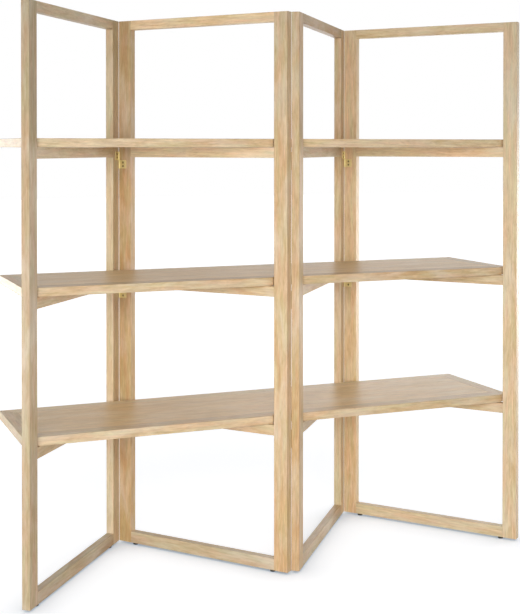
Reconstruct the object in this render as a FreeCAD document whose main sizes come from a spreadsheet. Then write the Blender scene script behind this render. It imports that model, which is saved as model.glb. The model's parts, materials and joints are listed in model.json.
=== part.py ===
import FreeCAD, Part
import os
import re
import Sketcher

# Folding screen bookcase: four framed leaves hinged in a zig-zag, with three long loose shelves
# threaded through the open leaves and resting on their shelf rails.
# Frame: +X right, +Y rear, +Z up, origin on the floor at the middle of the outline. Millimetres.

SIZES = [
    ("leaf_width", 722, "Width of one leaf over its stiles"),
    ("leaf_height", 1972, "Height of one leaf, without its glides"),
    ("leaf_thickness", 29, "Thickness of stiles and rails"),
    ("leaf_angle", 51.2, "Angle of every leaf to the long shelves, degrees"),
    ("stile_width", 54, "Width of a stile"),
    ("arris_radius", 1, "Rounding of the long edges of stiles and rails"),
    ("top_rail_height", 35, "Height of the top rail"),
    ("bottom_rail_height", 41, "Height of the bottom rail"),
    ("shelf_rail_height", 37, "Height of a rail that carries a shelf"),
    ("lowest_rail_top", 514.3, "Top of the lowest shelf rail above the foot of the leaf"),
    ("shelf_pitch", 490.3, "Height from one shelf to the next"),
    ("tenon_length", 32, "Length of a rail tenon"),
    ("tenon_thickness", 10, "Thickness of a rail tenon"),
    ("tenon_shoulder", 5, "Shoulder above and below a tenon"),
    ("mortise_relief", 0.8, "Mortise depth beyond the end of the tenon"),
    ("glue_gap", 0.1, "Room for glue on each side of a tenon or tongue"),
    ("corner_gap", 0.3, "Gap between the wood of two leaves at their hinge when open"),
    ("fold_gap", 5.4, "Gap between leaf faces when folded flat"),
    ("hinge_drop", 16, "Top of a hinge below the top of its shelf rail"),
    ("hinge_height", 64, "Height of a whole hinge"),
    ("barrel_diameter", 5, "Outer diameter of the hinge knuckle"),
    ("barrel_gap", 0.3, "Gap between the upper and the lower knuckle"),
    ("flag_margin", 20, "Bare stile between a hinge flag and the opening of the leaf"),
    ("flag_thickness", 1.8, "Thickness of a hinge flag"),
    ("pin_diameter", 2.6, "Diameter of the hinge pin"),
    ("pin_reach", 28, "Depth of the pin in each knuckle"),
    ("pin_clearance", 0.08, "Radial running clearance round the pin in the upper knuckle"),
    ("pin_end_relief", 0.5, "Bore depth beyond the end of the pin in the upper knuckle"),
    ("screw_edge", 14, "Hinge screws from the long edge of their flag"),
    ("screw_spacing", 13.4, "Distance between the two screws of a flag"),
    ("screw_length", 18, "Length of a hinge screw under its crown"),
    ("screw_diameter", 3.2, "Diameter of a hinge screw"),
    ("screw_head_diameter", 7, "Diameter of the countersunk head"),
    ("screw_crown", 0.5, "Height of the raised crown of the head"),
    ("screw_slot", 0.9, "Width and depth of the driver slot"),
    ("pilot_clearance", 0.05, "Radial clearance round screws and glide stems"),
    ("pilot_relief", 0.5, "Pilot hole depth beyond the end of a screw or stem"),
    ("glide_height", 8, "Height of the glides that the leaves stand on"),
    ("glide_diameter", 20, "Diameter of a glide"),
    ("glide_inset", 12, "Centre of a glide inside the inner edge of its stile"),
    ("glide_bevel", 1.2, "Bevel round the foot of a glide"),
    ("stem_diameter", 6, "Diameter of the glide's stem"),
    ("stem_length", 18, "Length of the glide's stem in the bottom rail"),
    ("shelf_thickness", 30, "Thickness of a shelf board"),
    ("shelf_end_setback", 13.5, "End of a shelf inside the outer corner of the end leaf"),
    ("shelf_front_step", 0.5, "Front face of a shelf before the inner back corner of the front stiles"),
    ("shelf_rear_gap", 3.7, "Gap between a rear stile and a shelf with the leaves folded flat"),
    ("shelf_seat_gap", 0.3, "Gap between a shelf and the rails under it"),
    ("shelf_arris", 1.2, "Rounding of the outer top and bottom edges of a shelf"),
    ("border_width", 54, "Width of the mitred border round the shelf panel"),
    ("notch_depth", 14, "Depth of the notches that clear the front stiles"),
    ("notch_side_gap", 5, "Side of a notch beyond the inner front corner of its stile"),
    ("tongue_length", 8, "Length of the tongue round the shelf panel"),
    ("tongue_thickness", 8, "Thickness of the tongue round the shelf panel"),
]

LEVELS = ("low", "mid", "high")
UP = FreeCAD.Vector(0, 0, 1)
ALONG = FreeCAD.Vector(1, 0, 0)
ACROSS = FreeCAD.Vector(0, 1, 0)
SLIVER = 1.0

doc = FreeCAD.newDocument("FoldingBookcase")
sizes = doc.addObject("Spreadsheet::Sheet", "Sizes")
for row, (alias, value, meaning) in enumerate(SIZES, 1):
    sizes.set(f"A{row}", meaning)
    sizes.set(f"B{row}", str(value))
    sizes.setAlias(f"B{row}", alias)
doc.recompute()

ALIASES = {alias for alias, value, meaning in SIZES}
subparts = []


def formula(text):
    """Point each size's name in a formula at its cell in the sheet."""
    return re.sub(r"[a-z_]+", lambda word: ("Sizes." if word[0] in ALIASES else "") + word[0], str(text))


def worth(text):
    """The value of a formula, in millimetres."""
    result = sizes.evalExpression(formula(text))
    return float(getattr(result, "Value", result))


def bind(item, **formulas):
    for prop, text in formulas.items():
        item.setExpression(prop, formula(text))


# ---------------------------------------------------------------- plan of the zig-zag

# A leaf runs past its hinge pins until its inner corner almost meets the next leaf's.
PIN_INSET = "((fold_gap * sin(leaf_angle) - corner_gap) / (2 * cos(leaf_angle)))"
RUN = f"(leaf_width - 2 * {PIN_INSET})"
STEP = "(leaf_thickness + fold_gap)"
HALF_SPAN = f"({RUN} * cos(leaf_angle) + {STEP} * sin(leaf_angle))"
HALF_DEPTH = f"(({RUN} * sin(leaf_angle) - {STEP} * cos(leaf_angle)) / 2)"
OFF_FACE = "(fold_gap / 2)"
FAR_FACE = f"(leaf_thickness + {OFF_FACE})"
FLAG_WIDTH = f"(stile_width - {PIN_INSET} - flag_margin)"
SCREW_SETBACK = f"({FLAG_WIDTH} - screw_edge)"


def leaf_place(hinge_x, hinge_y, along, across, turn):
    """Placement of a leaf's own frame: its corner from a hinge axis, along the leaf and across it."""
    x = f"{hinge_x} + {along} * cos(leaf_angle) - ({turn}) * {across} * sin(leaf_angle)"
    y = f"{hinge_y} + ({turn}) * {along} * sin(leaf_angle) + {across} * cos(leaf_angle)"
    return f"placement(vector({x}; {y}; glide_height); rotation(vector(0; 0; 1); ({turn}) * leaf_angle))"


# Each leaf's own frame: x along it from its left end, y from its front face to its back face,
# z up from its foot. Leaves 1 and 3 run to the rear, leaves 2 and 4 to the front.
LEFT_REAR = (f"(0 - {HALF_SPAN})", HALF_DEPTH)
MID_FRONT = ("0", f"(0 - {HALF_DEPTH})")
RIGHT_REAR = (HALF_SPAN, HALF_DEPTH)
LEAF_PLACES = {
    "leaf_1": leaf_place(*LEFT_REAR, f"({PIN_INSET} - leaf_width)", OFF_FACE, 1),
    "leaf_2": leaf_place(*LEFT_REAR, f"(0 - {PIN_INSET})", OFF_FACE, -1),
    "leaf_3": leaf_place(*MID_FRONT, f"(0 - {PIN_INSET})", f"(0 - {FAR_FACE})", 1),
    "leaf_4": leaf_place(*RIGHT_REAR, f"(0 - {PIN_INSET})", OFF_FACE, -1),
}
REAR_END = {"leaf_1": "right", "leaf_2": "left", "leaf_3": "right", "leaf_4": "left"}

# Hinge sides of each leaf: (end of the leaf, face of the leaf, which half of the hinge it carries).
HINGE_SIDES = {
    "leaf_1": [("right", "front", "upper")],
    "leaf_2": [("left", "front", "lower"), ("right", "back", "lower")],
    "leaf_3": [("left", "back", "upper"), ("right", "front", "upper")],
    "leaf_4": [("left", "front", "lower")],
}


def rail_top(level):
    return f"(lowest_rail_top + {LEVELS.index(level)} * shelf_pitch)"


def hinge_middle(level):
    return f"({rail_top(level)} - hinge_drop - hinge_height / 2)"


FLAG_HEIGHT = "((hinge_height - barrel_gap) / 2)"
SCREW_OFFSETS = [f"(barrel_gap / 2 + {FLAG_HEIGHT} / 2 + {sign} * screw_spacing / 2)" for sign in (-1, 1)]

# ---------------------------------------------------------------- sketch and feature helpers


def new_body(name):
    body = doc.addObject("PartDesign::Body", name)
    body.Label = name
    return body


def finish(item, name, place):
    """Name a finished sub-part, set its place and list it for export."""
    item.Label = name
    bind(item, Placement=place)
    subparts.append(item)


def sketch_on(body, name, plane, offset):
    sketch = body.newObject("Sketcher::SketchObject", name)
    origin_plane = next(item for item in body.Origin.OriginFeatures if item.Role == plane)
    sketch.AttachmentSupport = [(origin_plane, "")]
    sketch.MapMode = "FlatFace"
    bind(sketch, **{"AttachmentOffset.Base.z": offset})
    return sketch


def fix(sketch, kind, geometry, point, text):
    """Fix a point of the sketch from its origin by a formula."""
    number = sketch.addConstraint(Sketcher.Constraint(kind, -1, 1, geometry, point, worth(text)))
    bind(sketch, **{f"Constraints[{number}]": text})


def draw_outline(sketch, corners):
    """A closed outline of straight lines, every corner fixed from the origin."""
    first = sketch.GeometryCount
    count = len(corners)
    points = [FreeCAD.Vector(worth(x), worth(y), 0) for x, y in corners]
    for index in range(count):
        sketch.addGeometry(Part.LineSegment(points[index], points[(index + 1) % count]))
    for index in range(count):
        following = first + (index + 1) % count
        sketch.addConstraint(Sketcher.Constraint("Coincident", first + index, 2, following, 1))
    for index, (x, y) in enumerate(corners):
        fix(sketch, "DistanceX", first + index, 1, x)
        fix(sketch, "DistanceY", first + index, 1, y)


def draw_rectangle(sketch, low, high):
    draw_outline(sketch, [low, (high[0], low[1]), high, (low[0], high[1])])


def draw_circle(sketch, centre, radius):
    middle = FreeCAD.Vector(worth(centre[0]), worth(centre[1]), 0)
    circle = sketch.addGeometry(Part.Circle(middle, UP, worth(radius)))
    fix(sketch, "DistanceX", circle, 3, centre[0])
    fix(sketch, "DistanceY", circle, 3, centre[1])
    number = sketch.addConstraint(Sketcher.Constraint("Radius", circle, worth(radius)))
    bind(sketch, **{f"Constraints[{number}]": radius})


def pad(body, name, sketch, length, against=False):
    feature = body.newObject("PartDesign::Pad", name)
    feature.Profile = sketch
    feature.Reversed = against
    bind(feature, Length=length)
    return feature


def pocket(body, name, sketch, depth, against=False):
    feature = body.newObject("PartDesign::Pocket", name)
    feature.Profile = sketch
    feature.Reversed = against
    bind(feature, Length=depth)
    return feature


def round_edges(body, name, base, wanted, radius):
    """Round the straight edges of a feature that the test picks by their two ends."""
    doc.recompute()
    picked = []
    for number, edge in enumerate(base.Shape.Edges, 1):
        ends = [vertex.Point for vertex in edge.Vertexes]
        if len(ends) == 2 and wanted(*ends):
            picked.append(f"Edge{number}")
    feature = body.newObject("PartDesign::Fillet", name)
    feature.Base = (base, picked)
    bind(feature, Radius=radius)
    return feature


def runs_along(axis):
    return lambda start, end: abs((end - start).normalize().dot(axis)) > 0.999


# ---------------------------------------------------------------- leaves

# Rails of a leaf: name and the heights of its bottom and top edges above the foot of the leaf.
RAILS = [("bottom_rail", "0", "bottom_rail_height")]
for shelf_level in LEVELS:
    seat = rail_top(shelf_level)
    RAILS.append((f"{shelf_level}_rail", f"({seat} - shelf_rail_height)", seat))
RAILS.append(("top_rail", "(leaf_height - top_rail_height)", "leaf_height"))

GLIDE_CENTRES = ("stile_width + glide_inset", "leaf_width - stile_width - glide_inset")
TENON_LOW = "(leaf_thickness - tenon_thickness) / 2"
TENON_HIGH = "(leaf_thickness + tenon_thickness) / 2"


def make_stile(leaf, side):
    """An upright with a mortise for every rail and pilot holes for its hinge screws."""
    end = "rear" if side == REAR_END[leaf] else "front"
    name = f"{leaf}_{end}_stile"
    body = new_body(name)
    low_x = "0" if side == "left" else "leaf_width - stile_width"
    high_x = "stile_width" if side == "left" else "leaf_width"
    section = sketch_on(body, f"{name}_section", "XY_Plane", "0")
    draw_rectangle(section, (low_x, "0"), (high_x, "leaf_thickness"))
    post = pad(body, f"{name}_post", section, "leaf_height")
    round_edges(body, f"{name}_arrises", post, runs_along(UP), "arris_radius")

    mortises = sketch_on(body, f"{name}_mortise_plan", "YZ_Plane", high_x if side == "left" else low_x)
    for rail, low_z, high_z in RAILS:
        draw_rectangle(mortises, (f"{TENON_LOW} - glue_gap", f"{low_z} + tenon_shoulder - glue_gap"),
                       (f"{TENON_HIGH} + glue_gap", f"{high_z} - tenon_shoulder + glue_gap"))
    pocket(body, f"{name}_mortises", mortises, "tenon_length + mortise_relief", against=side == "right")

    for hinge_end, face, half in HINGE_SIDES[leaf]:
        if hinge_end != side:
            continue
        inwards = 1 if side == "left" else -1
        edge = "0" if side == "left" else "leaf_width"
        screw_x = f"{edge} + {inwards} * ({SCREW_SETBACK} + {PIN_INSET})"
        depth_plane = "0" if face == "front" else "0 - leaf_thickness"
        pilots = sketch_on(body, f"{name}_pilot_plan", "XZ_Plane", depth_plane)
        up_or_down = 1 if half == "upper" else -1
        for level in LEVELS:
            for offset in SCREW_OFFSETS:
                screw_z = f"{hinge_middle(level)} + {up_or_down} * {offset}"
                draw_circle(pilots, (screw_x, screw_z), "screw_diameter / 2 + pilot_clearance")
        pocket(body, f"{name}_pilots", pilots, "screw_length - flag_thickness + pilot_relief",
               against=face == "back")
    finish(body, name, LEAF_PLACES[leaf])


def make_rail(leaf, rail, low_z, high_z):
    """A rail with a tenon at each end, which butts between the two stiles."""
    name = f"{leaf}_{rail}"
    body = new_body(name)
    section = sketch_on(body, f"{name}_section", "YZ_Plane", "stile_width")
    draw_rectangle(section, ("0", low_z), ("leaf_thickness", high_z))
    bar = pad(body, f"{name}_bar", section, "leaf_width - 2 * stile_width")
    round_edges(body, f"{name}_arrises", bar, runs_along(ALONG), "arris_radius")
    tenon = sketch_on(body, f"{name}_tenon_section", "YZ_Plane", "stile_width - tenon_length")
    draw_rectangle(tenon, (TENON_LOW, f"{low_z} + tenon_shoulder"),
                   (TENON_HIGH, f"{high_z} - tenon_shoulder"))
    pad(body, f"{name}_tenons", tenon, "leaf_width - 2 * (stile_width - tenon_length)")
    if rail == "bottom_rail":
        stems = sketch_on(body, f"{name}_stem_plan", "XY_Plane", "0")
        for centre_x in GLIDE_CENTRES:
            draw_circle(stems, (centre_x, "leaf_thickness / 2"), "stem_diameter / 2 + pilot_clearance")
        pocket(body, f"{name}_stem_holes", stems, "stem_length + pilot_relief", against=True)
    finish(body, name, LEAF_PLACES[leaf])


# ---------------------------------------------------------------- hinges, screws and glides


def cylinder(name, radius, height, x="0", y="0", z="0", turn="rotation(vector(0; 0; 1); 0)"):
    item = doc.addObject("Part::Cylinder", name)
    bind(item, Radius=radius, Height=height, Placement=f"placement(vector({x}; {y}; {z}); {turn})")
    return item


def cone(name, start_radius, end_radius, height, x="0", y="0", z="0", turn="rotation(vector(0; 0; 1); 0)"):
    item = doc.addObject("Part::Cone", name)
    bind(item, Radius1=start_radius, Radius2=end_radius, Height=height,
         Placement=f"placement(vector({x}; {y}; {z}); {turn})")
    return item


def box(name, length, width, height, x="0", y="0", z="0"):
    item = doc.addObject("Part::Box", name)
    bind(item, Length=length, Width=width, Height=height,
         Placement=f"placement(vector({x}; {y}; {z}); rotation(vector(0; 0; 1); 0))")
    return item


def joined(name, pieces):
    item = doc.addObject("Part::MultiFuse", name)
    item.Shapes = pieces
    item.Refine = True
    return item


def less(name, base, tool):
    item = doc.addObject("Part::Cut", name)
    item.Base = base
    item.Tool = tool
    return item


INTO_WOOD = "rotation(vector(1; 0; 0); -90)"


def make_flag(half, bore_radius, bore_depth):
    """One half of a hinge in its pin's frame: knuckle below z = 0, flag towards +x, back face at +y."""
    name = f"{half}_flag"
    base_z = f"0 - barrel_gap / 2 - {FLAG_HEIGHT}"
    knuckle = cylinder(f"{name}_knuckle", "barrel_diameter / 2", FLAG_HEIGHT, z=base_z)
    plate = box(f"{name}_plate", FLAG_WIDTH, "flag_thickness", FLAG_HEIGHT,
                y=f"{OFF_FACE} - flag_thickness", z=base_z)
    bore = cylinder(f"{name}_bore", bore_radius, bore_depth, z=f"0 - {bore_depth}")
    cuts = [bore]
    for number, offset in enumerate(SCREW_OFFSETS, 1):
        cuts.append(cone(f"{name}_sink_{number}", "screw_head_diameter / 2",
                         "screw_diameter / 2", "flag_thickness",
                         SCREW_SETBACK, f"{OFF_FACE} - flag_thickness", f"0 - {offset}", INTO_WOOD))
    return less(name, joined(f"{name}_blank", [knuckle, plate]), joined(f"{name}_cuts", cuts))


def make_screw():
    """Slotted countersunk screw along +z, its countersink rim at z = 0 and its crown below."""
    parts = [
        cone("screw_crown_form", "screw_head_diameter / 2 - 2 * screw_crown", "screw_head_diameter / 2",
             "screw_crown", z="0 - screw_crown"),
        cone("screw_head", "screw_head_diameter / 2", "screw_diameter / 2", "flag_thickness"),
        cylinder("screw_shank", "screw_diameter / 2", "screw_length - flag_thickness - screw_diameter",
                 z="flag_thickness"),
        cone("screw_tip", "screw_diameter / 2", "screw_diameter / 8", "screw_diameter",
             z="screw_length - screw_diameter"),
    ]
    slot = box("screw_slot_form", "screw_head_diameter", "screw_slot", "screw_slot",
               "0 - screw_head_diameter / 2", "0 - screw_slot / 2", "0 - screw_crown")
    return less("hinge_screw", joined("screw_blank", parts), slot)


def make_glide():
    """A round plastic glide with a bevelled foot and a stem, standing on z = 0."""
    parts = [
        cone("glide_foot", "glide_diameter / 2 - glide_bevel", "glide_diameter / 2", "glide_bevel"),
        cylinder("glide_disc", "glide_diameter / 2", "glide_height - glide_bevel", z="glide_bevel"),
        cylinder("glide_stem", "stem_diameter / 2", "stem_length", z="glide_height"),
    ]
    return joined("glide", parts)


def hinge_frame(side, face, half, level):
    """Where a hinge half sits in its leaf's frame, from the frame that make_flag uses."""
    across_leaf = worth(f"0 - {OFF_FACE}") if face == "front" else worth(f"leaf_thickness + {OFF_FACE}")
    along_leaf = worth(PIN_INSET) if side == "left" else worth(f"leaf_width - {PIN_INSET}")
    spot = FreeCAD.Vector(along_leaf, across_leaf, worth(hinge_middle(level)))
    turns = {
        ("left", "front", "lower"): FreeCAD.Rotation(UP, 0),
        ("right", "back", "lower"): FreeCAD.Rotation(UP, 180),
        ("right", "front", "upper"): FreeCAD.Rotation(ACROSS, 180),
        ("left", "back", "upper"): FreeCAD.Rotation(ALONG, 180),
    }
    return FreeCAD.Placement(spot, turns[(side, face, half)])


def group(name, leaf, copies):
    """Like pieces of one leaf as a group of separate solids."""
    item = doc.addObject("Part::Feature", name)
    item.Shape = Part.makeCompound(copies)
    finish(item, name, LEAF_PLACES[leaf])


def moved(master, frame):
    shape = master.Shape.copy()
    shape.Placement = frame.multiply(shape.Placement)
    return shape


def make_hardware(leaf, masters):
    """The hinge halves, pins, screws and glides of one leaf."""
    flags, pins, screws = [], [], []
    for side, face, half in HINGE_SIDES[leaf]:
        for level in LEVELS:
            frame = hinge_frame(side, face, half, level)
            flags.append(moved(masters[half], frame))
            if half == "lower":
                pins.append(moved(masters["pin"], frame))
            for offset in SCREW_OFFSETS:
                flag_face = worth(f"{OFF_FACE} - flag_thickness")
                spot = FreeCAD.Vector(worth(SCREW_SETBACK), flag_face, -worth(offset))
                drive = FreeCAD.Placement(spot, FreeCAD.Rotation(ALONG, -90))
                screws.append(moved(masters["screw"], frame.multiply(drive)))
    half_name = HINGE_SIDES[leaf][0][2]
    group(f"{leaf}_{half_name}_flags", leaf, flags)
    if pins:
        group(f"{leaf}_hinge_pins", leaf, pins)
    group(f"{leaf}_hinge_screws", leaf, screws)
    glides = []
    for centre_x in GLIDE_CENTRES:
        foot = FreeCAD.Vector(worth(centre_x), worth("leaf_thickness / 2"), -worth("glide_height"))
        glides.append(moved(masters["glide"], FreeCAD.Placement(foot, FreeCAD.Rotation())))
    group(f"{leaf}_glides", leaf, glides)


# ---------------------------------------------------------------- shelves

# A shelf's own frame: x from its middle, y from the rear hinge line (to the front is negative),
# z up from its underside.
OUTER_CORNER = f"((leaf_width - {PIN_INSET}) * cos(leaf_angle) + {FAR_FACE} * sin(leaf_angle))"
OPENING_END = f"(leaf_width - stile_width - {PIN_INSET})"
BACK_CORNER = f"({OPENING_END} * sin(leaf_angle) - {FAR_FACE} * cos(leaf_angle))"
HALF_LENGTH = f"({HALF_SPAN} + {OUTER_CORNER} - shelf_end_setback)"
FRONT = f"(0 - {BACK_CORNER} - shelf_front_step)"
REAR = f"({PIN_INSET} - stile_width - shelf_rear_gap)"
INNER_HALF = f"({HALF_LENGTH} - border_width)"
INNER_FRONT = f"({FRONT} + border_width)"
INNER_REAR = f"({REAR} - border_width)"
STILE_CORNER = f"({OPENING_END} * cos(leaf_angle) + {OFF_FACE} * sin(leaf_angle))"
NOTCH_FROM_HINGE = f"({STILE_CORNER} + notch_side_gap)"
TONGUE_BASE = "(shelf_thickness - tongue_thickness) / 2"


def draw_band(sketch, reach):
    """The rectangle of the panel, grown by a reach on every side."""
    draw_rectangle(sketch, (f"0 - {INNER_HALF} - {reach}", f"{INNER_FRONT} - {reach}"),
                   (f"{INNER_HALF} + {reach}", f"{INNER_REAR} + {reach}"))


# Plan of each border piece: first the two ends of its outer edge, then the mitres to the panel.
BORDERS = {
    "front_border": [(f"0 - {HALF_LENGTH}", FRONT), (HALF_LENGTH, FRONT),
                     (INNER_HALF, INNER_FRONT), (f"0 - {INNER_HALF}", INNER_FRONT)],
    "right_border": [(HALF_LENGTH, FRONT), (HALF_LENGTH, REAR),
                     (INNER_HALF, INNER_REAR), (INNER_HALF, INNER_FRONT)],
    "rear_border": [(HALF_LENGTH, REAR), (f"0 - {HALF_LENGTH}", REAR),
                    (f"0 - {INNER_HALF}", INNER_REAR), (INNER_HALF, INNER_REAR)],
    "left_border": [(f"0 - {HALF_LENGTH}", REAR), (f"0 - {HALF_LENGTH}", FRONT),
                    (f"0 - {INNER_HALF}", INNER_FRONT), (f"0 - {INNER_HALF}", INNER_REAR)],
}

# Notches in the front edge: one round the two front stiles in the middle, one open at each end.
NOTCHES = {
    "front_border": [
        (f"0 - {HALF_LENGTH} - border_width", f"0 - {HALF_SPAN} - {NOTCH_FROM_HINGE}"),
        (f"0 - {HALF_SPAN} + {NOTCH_FROM_HINGE}", f"{HALF_SPAN} - {NOTCH_FROM_HINGE}"),
        (f"{HALF_SPAN} + {NOTCH_FROM_HINGE}", f"{HALF_LENGTH} + border_width"),
    ],
    "left_border": [(f"0 - {HALF_LENGTH} - border_width", f"0 - {HALF_SPAN} - {NOTCH_FROM_HINGE}")],
    "right_border": [(f"{HALF_SPAN} + {NOTCH_FROM_HINGE}", f"{HALF_LENGTH} + border_width")],
}


def outer_edges(corners):
    """Picks the edges of a border piece that lie on its outer face, top and bottom."""
    (start_x, start_y), (end_x, end_y) = [(worth(x), worth(y)) for x, y in corners[:2]]

    def picked(start, end):
        flat = abs(start.z - end.z) < 0.01
        if start_x == end_x:
            return flat and abs(start.x - start_x) < 0.01 and abs(end.x - start_x) < 0.01
        return flat and abs(start.y - start_y) < 0.01 and abs(end.y - end_y) < 0.01

    return picked


def make_shelf(level):
    """A shelf board: a tongued panel inside a border of four mitred strips."""
    shelf = f"{level}_shelf"
    place = (f"placement(vector(0; {HALF_DEPTH}; glide_height + {rail_top(level)} + shelf_seat_gap); "
             "rotation(vector(0; 0; 1); 0))")
    name = f"{shelf}_panel"
    body = new_body(name)
    field = sketch_on(body, f"{name}_field_plan", "XY_Plane", "0")
    draw_band(field, "0")
    pad(body, f"{name}_field", field, "shelf_thickness")
    tongue = sketch_on(body, f"{name}_tongue_plan", "XY_Plane", TONGUE_BASE)
    draw_band(tongue, "(tongue_length - glue_gap)")
    pad(body, f"{name}_tongue", tongue, "tongue_thickness")
    finish(body, name, place)

    for border, corners in BORDERS.items():
        name = f"{shelf}_{border}"
        body = new_body(name)
        plan = sketch_on(body, f"{name}_plan", "XY_Plane", "0")
        draw_outline(plan, corners)
        strip = pad(body, f"{name}_strip", plan, "shelf_thickness")
        round_edges(body, f"{name}_arrises", strip, outer_edges(corners), "shelf_arris")
        groove = sketch_on(body, f"{name}_groove_plan", "XY_Plane", f"{TONGUE_BASE} - glue_gap")
        draw_band(groove, "tongue_length")
        pocket(body, f"{name}_groove", groove, "tongue_thickness + 2 * glue_gap", against=True)
        if border in NOTCHES:
            notches = sketch_on(body, f"{name}_notch_plan", "XY_Plane", "0")
            for low_x, high_x in NOTCHES[border]:
                draw_rectangle(notches, (low_x, f"{FRONT} - notch_depth"),
                               (high_x, f"{FRONT} + notch_depth"))
            pocket(body, f"{name}_notches", notches, "shelf_thickness", against=True)
        finish(body, name, place)


# ---------------------------------------------------------------- assembly

for leaf_name in LEAF_PLACES:
    for leaf_side in ("left", "right"):
        make_stile(leaf_name, leaf_side)
    for rail_name, rail_low, rail_high in RAILS:
        make_rail(leaf_name, rail_name, rail_low, rail_high)

for shelf_level in LEVELS:
    make_shelf(shelf_level)

PIN_END = "(barrel_gap / 2 + pin_reach)"
HARDWARE = {
    "lower": make_flag("lower", "(pin_diameter / 2)", PIN_END),
    "upper": make_flag("upper", "(pin_diameter / 2 + pin_clearance)", f"({PIN_END} + pin_end_relief)"),
    "pin": cylinder("hinge_pin", "pin_diameter / 2", f"2 * {PIN_END}", z=f"0 - {PIN_END}"),
    "screw": make_screw(),
    "glide": make_glide(),
}
doc.recompute()
for leaf_name in LEAF_PLACES:
    make_hardware(leaf_name, HARDWARE)
doc.recompute()

# ---------------------------------------------------------------- checks and export

for item in doc.Objects:
    if "Invalid" in item.State or "Error" in item.State:
        raise RuntimeError(f"{item.Label} did not compute: {item.State}")
for item in doc.findObjects("PartDesign::Pocket"):
    removed = item.BaseFeature.Shape.Volume - item.Shape.Volume
    if removed < SLIVER:
        raise RuntimeError(f"{item.Label} cuts nothing")
os.makedirs("parts", exist_ok=True)
for item in subparts:
    if item.Shape.isNull() or not item.Shape.isValid():
        raise RuntimeError(f"{item.Label} has no valid shape")
for item in subparts:
    item.Shape.exportStep(f"parts/{item.Label}.step")
    extent = item.Shape.BoundBox
    print(f"{item.Label:28s} solids {len(item.Shape.Solids)}  volume {item.Shape.Volume:12.1f}  "
          f"{extent.XLength:8.2f} x {extent.YLength:8.2f} x {extent.ZLength:8.2f}")
whole = Part.makeCompound([item.Shape for item in subparts]).BoundBox
print(f"{len(subparts)} sub-parts, X {whole.XMin:.2f} to {whole.XMax:.2f}, "
      f"Y {whole.YMin:.2f} to {whole.YMax:.2f}, Z {whole.ZMin:.2f} to {whole.ZMax:.2f}")
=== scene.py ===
"""Finishes, fittings and studio of a folding bookcase of four framed leaves and three shelves."""

import json
import math

import bmesh
import bpy
from mathutils import Matrix, Vector

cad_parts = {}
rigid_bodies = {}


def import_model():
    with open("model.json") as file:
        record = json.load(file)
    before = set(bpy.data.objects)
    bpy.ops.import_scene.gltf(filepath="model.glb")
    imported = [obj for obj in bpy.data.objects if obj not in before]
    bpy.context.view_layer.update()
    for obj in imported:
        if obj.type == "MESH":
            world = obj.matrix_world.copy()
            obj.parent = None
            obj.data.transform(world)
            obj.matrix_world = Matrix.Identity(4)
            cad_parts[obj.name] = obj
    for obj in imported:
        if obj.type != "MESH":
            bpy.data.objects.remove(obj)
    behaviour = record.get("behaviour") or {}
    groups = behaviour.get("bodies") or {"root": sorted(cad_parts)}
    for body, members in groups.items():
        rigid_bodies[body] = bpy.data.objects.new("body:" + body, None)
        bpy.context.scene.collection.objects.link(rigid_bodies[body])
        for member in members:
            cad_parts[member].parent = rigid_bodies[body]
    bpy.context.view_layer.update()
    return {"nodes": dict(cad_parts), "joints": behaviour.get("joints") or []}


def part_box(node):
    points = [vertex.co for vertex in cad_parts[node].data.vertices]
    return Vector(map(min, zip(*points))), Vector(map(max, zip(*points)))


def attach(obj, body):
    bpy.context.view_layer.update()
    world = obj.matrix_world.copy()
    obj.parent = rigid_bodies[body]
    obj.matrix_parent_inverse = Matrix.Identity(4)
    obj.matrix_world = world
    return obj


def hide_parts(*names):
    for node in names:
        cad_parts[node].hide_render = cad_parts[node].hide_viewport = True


bl_info = {
    "name": "Folding Bookcase",
    "version": (1, 0, 0),
    "blender": (4, 5, 0),
    "location": "3D View > Sidebar > Bookcase",
    "description": "Builds the boards, shelves, hinges and studio of a folding bookcase",
    "category": "Object",
}

for leftover in list(bpy.data.objects):
    bpy.data.objects.remove(leftover)
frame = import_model()
NODES = frame["nodes"]

# +1 for a leaf that runs to the rear, -1 for one that runs to the front.
LEAVES = {"leaf_1": 1, "leaf_2": -1, "leaf_3": 1, "leaf_4": -1}
# The stiles at both ends of the zig-zag, which meet no other leaf.
FREE_STILES = ("leaf_1_front_stile", "leaf_4_front_stile")
SHELVES = ("low_shelf", "mid_shelf", "high_shelf")
LEVELS = ("low", "mid", "high")
RAILS = ("bottom_rail", "low_rail", "mid_rail", "high_rail", "top_rail")

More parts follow.
